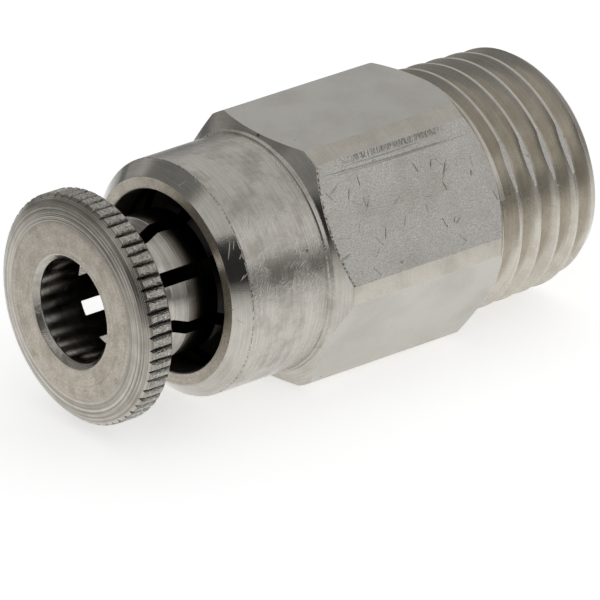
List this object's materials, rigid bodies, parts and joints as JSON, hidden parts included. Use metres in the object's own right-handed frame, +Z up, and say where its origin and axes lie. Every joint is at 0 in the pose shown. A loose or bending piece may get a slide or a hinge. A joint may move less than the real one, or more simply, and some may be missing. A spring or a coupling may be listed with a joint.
{
  "type": "push-in tube fitting",
  "caption": "Straight metal push-in tube fitting with a knurled release collet, a spanner hexagon and a short male taper thread.",
  "frame": {"origin": "on the fitting's axis, where the hexagon ends and the taper thread starts", "axes": "+X along the axis out of the thread end, the tube enters from -X towards +X; +Z up, with one hexagon flat level underneath"},
  "size_m": [0.023, 0.0112, 0.01],
  "materials": {
    "body_nickel": "satin nickel plate over turned brass",
    "collet_nickel": "satin nickel plate over turned and knurled brass",
    "seal_rubber": "black nitrile rubber"
  },
  "bodies": {
    "fitting": {"body": "body_nickel", "seal_ring": "seal_rubber"},
    "collet": {"release_collet": "collet_nickel"}
  },
  "joints": [
    {"name": "collet_slide", "type": "slide", "parent": "fitting", "child": "collet", "axis": [1, 0, 0], "range_m": [0, 0.003]}
  ]
}
